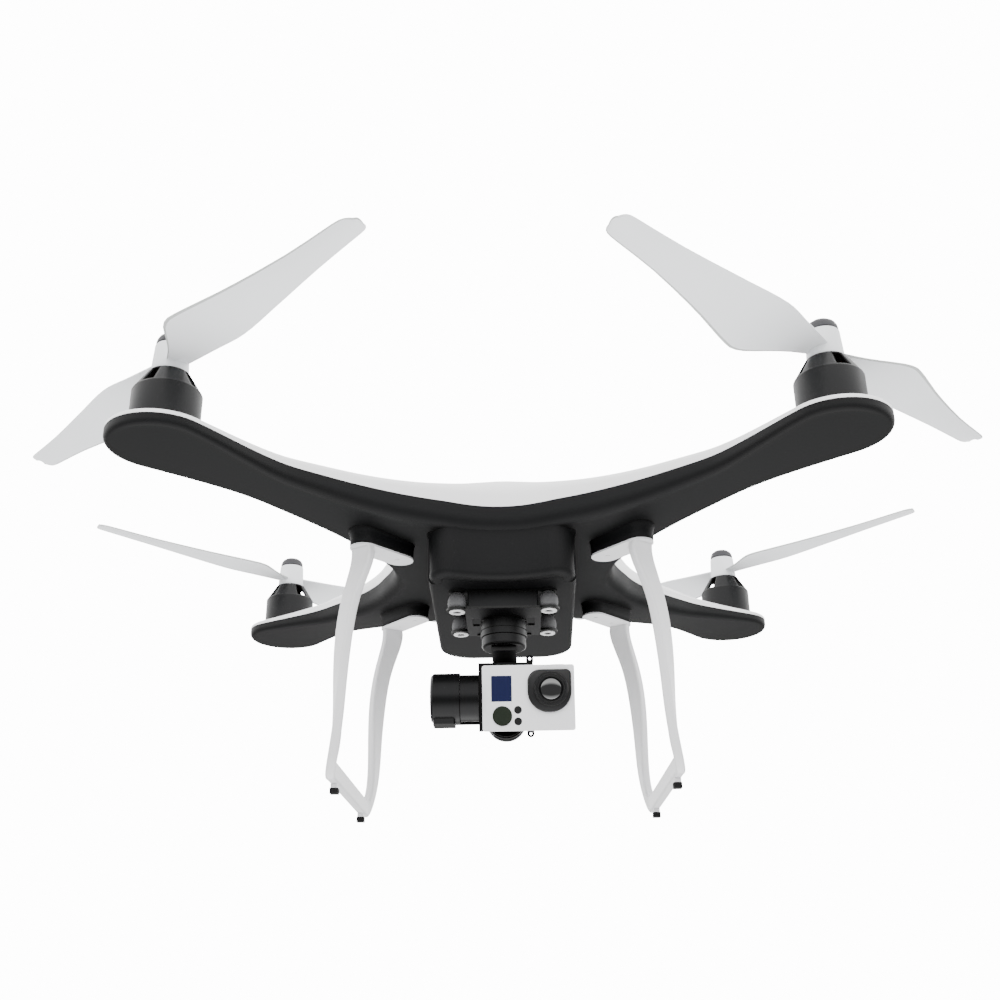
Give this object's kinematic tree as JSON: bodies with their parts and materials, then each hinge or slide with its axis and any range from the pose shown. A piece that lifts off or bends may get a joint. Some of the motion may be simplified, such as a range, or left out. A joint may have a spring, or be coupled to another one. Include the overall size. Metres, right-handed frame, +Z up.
{
  "type": "quadcopter drone",
  "caption": "Quadcopter drone with an X-shaped shell, two-blade propellers, U-shaped landing legs and a three-axis gimbal carrying a small action camera.",
  "frame": {"origin": "on the ground, below the crossing of the two motor diagonals; the rubber feet stand on z = 0", "axes": "+Z up, -Y towards the nose and the camera's view, +X to the craft's own left"},
  "size_m": [0.6498, 0.6528, 0.2495],
  "materials": {
    "battery": "matte black",
    "battery_button": "satin grey",
    "belly_housing": "fine matte black",
    "belly_nose_cover": "fine matte black",
    "camera_body": "matte dark grey",
    "camera_faceplate": "fine blasted silver",
    "camera_screen": "dark blue display window",
    "camera_tray": "black anodised aluminium",
    "damper_balls": "grey silicone rubber",
    "damper_washers": "white nylon",
    "gear_feet": "black rubber",
    "gear_screws": "plated steel",
    "gimbal_controller": "matte black",
    "gimbal_mount": "black anodised aluminium",
    "gimbal_plate": "black anodised aluminium",
    "gimbal_screws": "black oxide steel",
    "gps_module": "ceramic",
    "landing_gear": "smooth satin white",
    "lens_glass": "coated glass",
    "lens_housing": "satin black",
    "lower_shell": "fine matte black",
    "main_board": "green solder mask",
    "mode_button": "dark green plastic",
    "motor_bearings": "bearing steel",
    "motor_mounts": "black anodised aluminium",
    "motor_screws": "black oxide steel",
    "motor_shaft": "ground steel",
    "motor_stators": "laminated steel",
    "motor_windings": "enamelled copper",
    "prop_nut": "dark anodised aluminium",
    "propeller": "satin white, slightly translucent",
    "roll_arm": "black anodised aluminium",
    "roll_motor_housing": "black anodised aluminium",
    "roll_motor_rotor": "black anodised aluminium",
    "rotor_bell": "black anodised aluminium",
    "rotor_magnets": "nickel plated",
    "shutter_button": "dark red plastic",
    "speed_controllers": "black heat shrink",
    "status_lights": "smoked plastic",
    "tilt_motor_housing": "black anodised aluminium",
    "tilt_motor_rotor": "black anodised aluminium",
    "upper_shell": "smooth glossy white",
    "yaw_arm": "black anodised aluminium",
    "yaw_motor_housing": "black anodised aluminium"
  },
  "bodies": {
    "airframe": {"belly_housing": "belly_housing", "belly_nose_cover": "belly_nose_cover", "damper_balls": "damper_balls", "damper_washers": "damper_washers", "gear_feet": "gear_feet", "gear_screws": "gear_screws", "gimbal_controller": "gimbal_controller", "gimbal_mount": "gimbal_mount", "gimbal_plate": "gimbal_plate", "gimbal_screws": "gimbal_screws", "gps_module": "gps_module", "landing_gear_left": "landing_gear", "landing_gear_right": "landing_gear", "lower_shell": "lower_shell", "main_board": "main_board", "motor_bearings": "motor_bearings", "motor_mounts": "motor_mounts", "motor_screws": "motor_screws", "motor_stators": "motor_stators", "motor_windings": "motor_windings", "speed_controllers": "speed_controllers", "upper_shell": "upper_shell", "yaw_motor_housing": "yaw_motor_housing"},
    "rotor_front_right": {"rotor_bell_front_right": "rotor_bell", "rotor_magnets_front_right": "rotor_magnets", "motor_shaft_front_right": "motor_shaft", "propeller_front_right": "propeller", "prop_nut_front_right": "prop_nut"},
    "rotor_front_left": {"rotor_bell_front_left": "rotor_bell", "rotor_magnets_front_left": "rotor_magnets", "motor_shaft_front_left": "motor_shaft", "propeller_front_left": "propeller", "prop_nut_front_left": "prop_nut"},
    "rotor_rear_right": {"rotor_bell_rear_right": "rotor_bell", "rotor_magnets_rear_right": "rotor_magnets", "motor_shaft_rear_right": "motor_shaft", "propeller_rear_right": "propeller", "prop_nut_rear_right": "prop_nut"},
    "rotor_rear_left": {"rotor_bell_rear_left": "rotor_bell", "rotor_magnets_rear_left": "rotor_magnets", "motor_shaft_rear_left": "motor_shaft", "propeller_rear_left": "propeller", "prop_nut_rear_left": "prop_nut"},
    "battery_pack": {"battery": "battery"},
    "battery_release": {"battery_button": "battery_button"},
    "yaw_frame": {"yaw_arm": "yaw_arm", "roll_motor_housing": "roll_motor_housing"},
    "roll_frame": {"roll_motor_rotor": "roll_motor_rotor", "roll_arm": "roll_arm", "tilt_motor_housing": "tilt_motor_housing"},
    "camera": {"tilt_motor_rotor": "tilt_motor_rotor", "camera_tray": "camera_tray", "camera_body": "camera_body", "camera_faceplate": "camera_faceplate", "lens_housing": "lens_housing", "lens_glass": "lens_glass", "camera_screen": "camera_screen", "status_lights": "status_lights"},
    "mode_key": {"mode_button": "mode_button"},
    "shutter_key": {"shutter_button": "shutter_button"}
  },
  "joints": [
    {"name": "rotor_spin_front_right", "type": "hinge", "parent": "airframe", "child": "rotor_front_right", "pos_m": [-0.19269, -0.19269, 0.2], "axis": [0, 0, 1], "continuous": true},
    {"name": "rotor_spin_front_left", "type": "hinge", "parent": "airframe", "child": "rotor_front_left", "pos_m": [0.19269, -0.19269, 0.2], "axis": [0, 0, 1], "continuous": true},
    {"name": "rotor_spin_rear_right", "type": "hinge", "parent": "airframe", "child": "rotor_rear_right", "pos_m": [-0.19269, 0.19269, 0.2], "axis": [0, 0, 1], "continuous": true},
    {"name": "rotor_spin_rear_left", "type": "hinge", "parent": "airframe", "child": "rotor_rear_left", "pos_m": [0.19269, 0.19269, 0.2], "axis": [0, 0, 1], "continuous": true},
    {"name": "battery_slide", "type": "slide", "parent": "airframe", "child": "battery_pack", "axis": [0, 1, 0], "range_m": [0, 0.14]},
    {"name": "battery_button_press", "type": "slide", "parent": "battery_pack", "child": "battery_release", "axis": [0, -1, 0], "range_m": [0, 0.0006], "stiffness_N_per_m": 900},
    {"name": "gimbal_yaw", "type": "hinge", "parent": "airframe", "child": "yaw_frame", "pos_m": [0, -0.037, 0.1], "axis": [0, 0, 1], "range_deg": [-160, 160]},
    {"name": "gimbal_roll", "type": "hinge", "parent": "yaw_frame", "child": "roll_frame", "pos_m": [0.0005, -0.013, 0.0544], "axis": [0, 1, 0], "range_deg": [-30, 30]},
    {"name": "gimbal_tilt", "type": "hinge", "parent": "roll_frame", "child": "camera", "pos_m": [-0.02, -0.05, 0.0612], "axis": [1, 0, 0], "range_deg": [-33.5, 76.5]},
    {"name": "mode_button_press", "type": "slide", "parent": "camera", "child": "mode_key", "axis": [0, 0.9724, 0.2334], "range_m": [0, 0.0006], "stiffness_N_per_m": 600},
    {"name": "shutter_button_press", "type": "slide", "parent": "camera", "child": "shutter_key", "axis": [0, 0.2334, -0.9724], "range_m": [0, 0.0006], "stiffness_N_per_m": 600}
  ]
}
